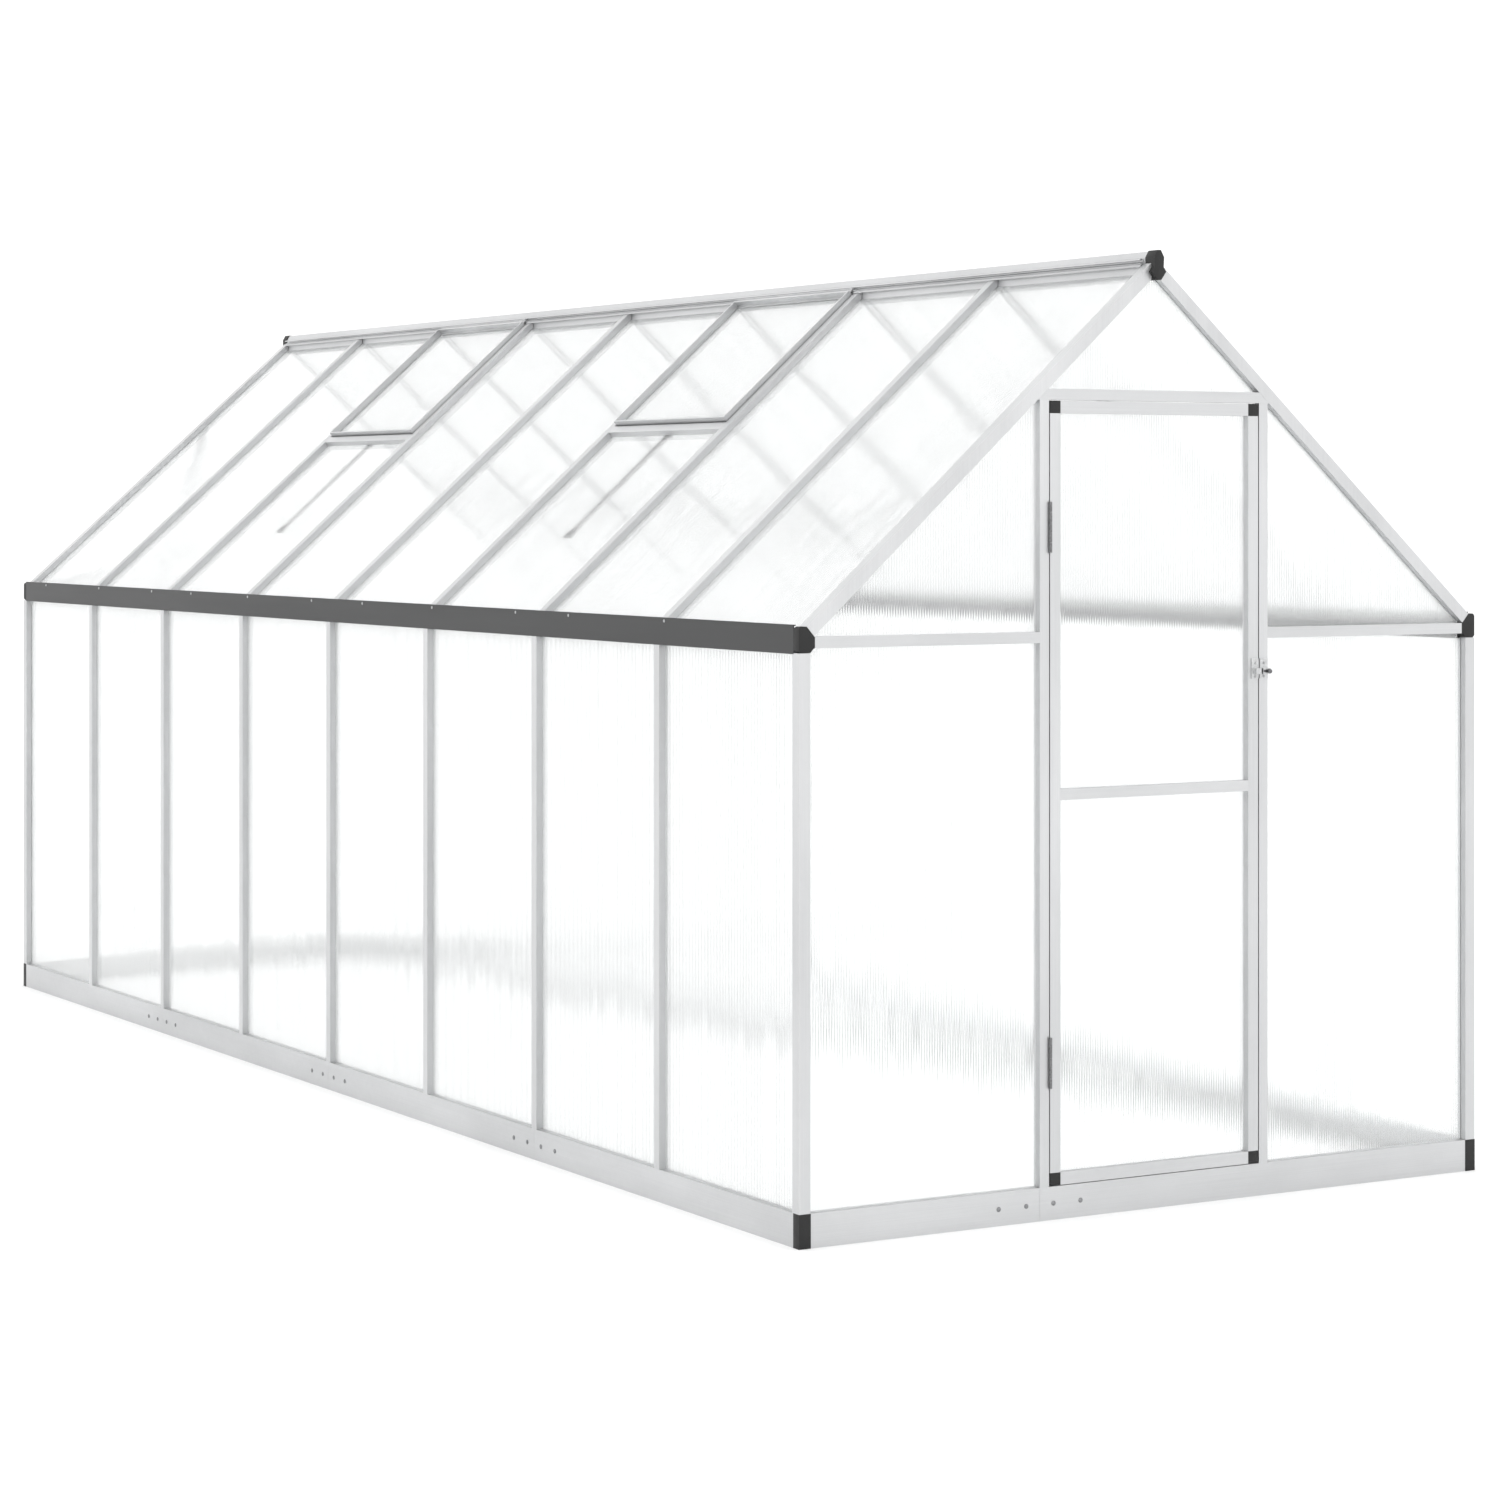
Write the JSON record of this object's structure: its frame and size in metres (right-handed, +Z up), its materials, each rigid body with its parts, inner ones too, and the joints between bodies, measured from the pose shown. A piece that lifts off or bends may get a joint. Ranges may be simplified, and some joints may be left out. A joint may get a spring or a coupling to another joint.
{
  "type": "walk-in greenhouse",
  "caption": "Long walk-in greenhouse with aluminium glazing bars, twin-wall clear sheets, a hinged gable door with slide latch, and hinged roof vents with stays.",
  "frame": {"origin": "on the ground, in the middle of the whole outline", "axes": "+X across the house, +Y along it from the door gable to the back gable, +Z up"},
  "size_m": [1.6724, 4.451, 1.921],
  "materials": {
    "aluminium": "mill finish, satin",
    "twin_wall_sheet": "clear twin-wall sheet with fine lengthwise ribs",
    "gutter_paint": "graphite powder coat, satin",
    "black_plastic": "moulded, fine texture",
    "zinc_steel": "zinc plated",
    "dark_steel": "darkened zinc plate",
    "plate_steel": "pressed, zinc plated"
  },
  "bodies": {
    "house": {"base_rails_left": "aluminium", "base_rails_right": "aluminium", "base_rails_front": "aluminium", "base_rails_back": "aluminium", "base_splice_plates": "plate_steel", "base_bolts": "zinc_steel", "base_nuts": "zinc_steel", "base_corner_caps": "black_plastic", "corner_posts": "aluminium", "studs_left": "aluminium", "studs_right": "aluminium", "door_posts": "aluminium", "studs_back": "aluminium", "gutter_left": "gutter_paint", "gutter_right": "gutter_paint", "gutter_end_caps": "black_plastic", "gutter_screws": "zinc_steel", "eave_rails_front": "aluminium", "eave_rails_back": "aluminium", "door_header": "aluminium", "gable_rafters_front": "aluminium", "gable_rafters_back": "aluminium", "rafters_left": "aluminium", "rafters_right": "aluminium", "ridge_bar": "aluminium", "ridge_end_caps": "black_plastic", "vent_sills": "aluminium", "stay_brackets": "black_plastic", "stay_pins": "zinc_steel", "wall_sheets_left": "twin_wall_sheet", "wall_sheets_right": "twin_wall_sheet", "roof_sheets_left": "twin_wall_sheet", "roof_sheets_right": "twin_wall_sheet", "gable_sheets_front": "twin_wall_sheet", "gable_sheets_back": "twin_wall_sheet", "hinge_leaves_post": "dark_steel", "hinge_pins": "zinc_steel", "latch_housing": "plate_steel", "latch_screws_post": "zinc_steel"},
    "door": {"door_stiles": "aluminium", "door_rails": "aluminium", "door_corner_caps": "black_plastic", "door_sheets": "twin_wall_sheet", "hinge_leaves_door": "dark_steel", "latch_keeper": "plate_steel", "latch_screws_door": "zinc_steel"},
    "latch_bolt": {"latch_bolt": "dark_steel"},
    "vent_near": {"vent_near_frame": "aluminium", "vent_near_sheet": "twin_wall_sheet"},
    "vent_far": {"vent_far_frame": "aluminium", "vent_far_sheet": "twin_wall_sheet"},
    "stay_near": {"stay_near": "aluminium", "stay_near_grip": "black_plastic"},
    "stay_far": {"stay_far": "aluminium", "stay_far_grip": "black_plastic"}
  },
  "joints": [
    {"name": "door_hinge", "type": "hinge", "parent": "house", "child": "door", "pos_m": [-0.25875, -2.2101, 0.84], "axis": [0, 0, -1], "range_deg": [0, 160]},
    {"name": "latch_slide", "type": "slide", "parent": "house", "child": "latch_bolt", "axis": [-1, 0, 0], "range_m": [0, 0.01]},
    {"name": "vent_near_hinge", "type": "hinge", "parent": "house", "child": "vent_near", "pos_m": [-0.01651, -0.82056, 1.89949], "axis": [0, 1, 0], "range_deg": [0, 45]},
    {"name": "vent_far_hinge", "type": "hinge", "parent": "house", "child": "vent_far", "pos_m": [-0.01651, 0.82756, 1.89949], "axis": [0, 1, 0], "range_deg": [0, 45]},
    {"name": "stay_near_pivot", "type": "hinge", "parent": "house", "child": "stay_near", "pos_m": [-0.34344, -0.82056, 1.56584], "axis": [0, -1, 0], "range_deg": [0, 150]},
    {"name": "stay_far_pivot", "type": "hinge", "parent": "house", "child": "stay_far", "pos_m": [-0.34344, 0.82756, 1.56584], "axis": [0, -1, 0], "range_deg": [0, 150]}
  ]
}
